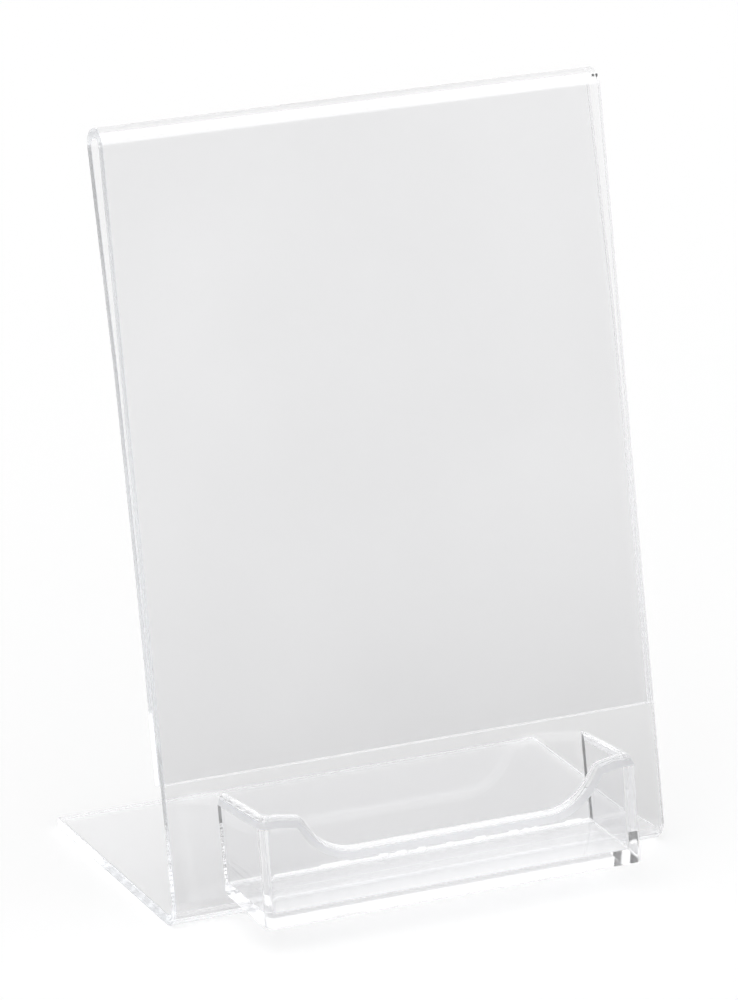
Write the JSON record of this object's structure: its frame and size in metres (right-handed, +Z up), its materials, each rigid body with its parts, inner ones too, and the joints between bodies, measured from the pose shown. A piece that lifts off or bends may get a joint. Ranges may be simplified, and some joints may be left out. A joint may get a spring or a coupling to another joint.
{
  "type": "menu stand",
  "caption": "Clear counter-top stand: a leaning sheet folded over at the top to hold a menu between its layers, on a flat base, with an open-backed business card pocket at the foot.",
  "frame": {"origin": "on the surface that the base stands on, under the middle of the stand's box", "axes": "+Z up, +X to the reader's right, +Y to the back, towards the base's rear edge"},
  "size_m": [0.13, 0.0914, 0.1829],
  "materials": {
    "clear_sheet": "clear cast acrylic sheet, polished faces and flame-polished edges, heat-bent",
    "clear_moulding": "clear moulded acrylic with rounded rims, glossy"
  },
  "bodies": {
    "root": {"holder_sheet": "clear_sheet", "card_pocket": "clear_moulding"}
  },
  "joints": []
}
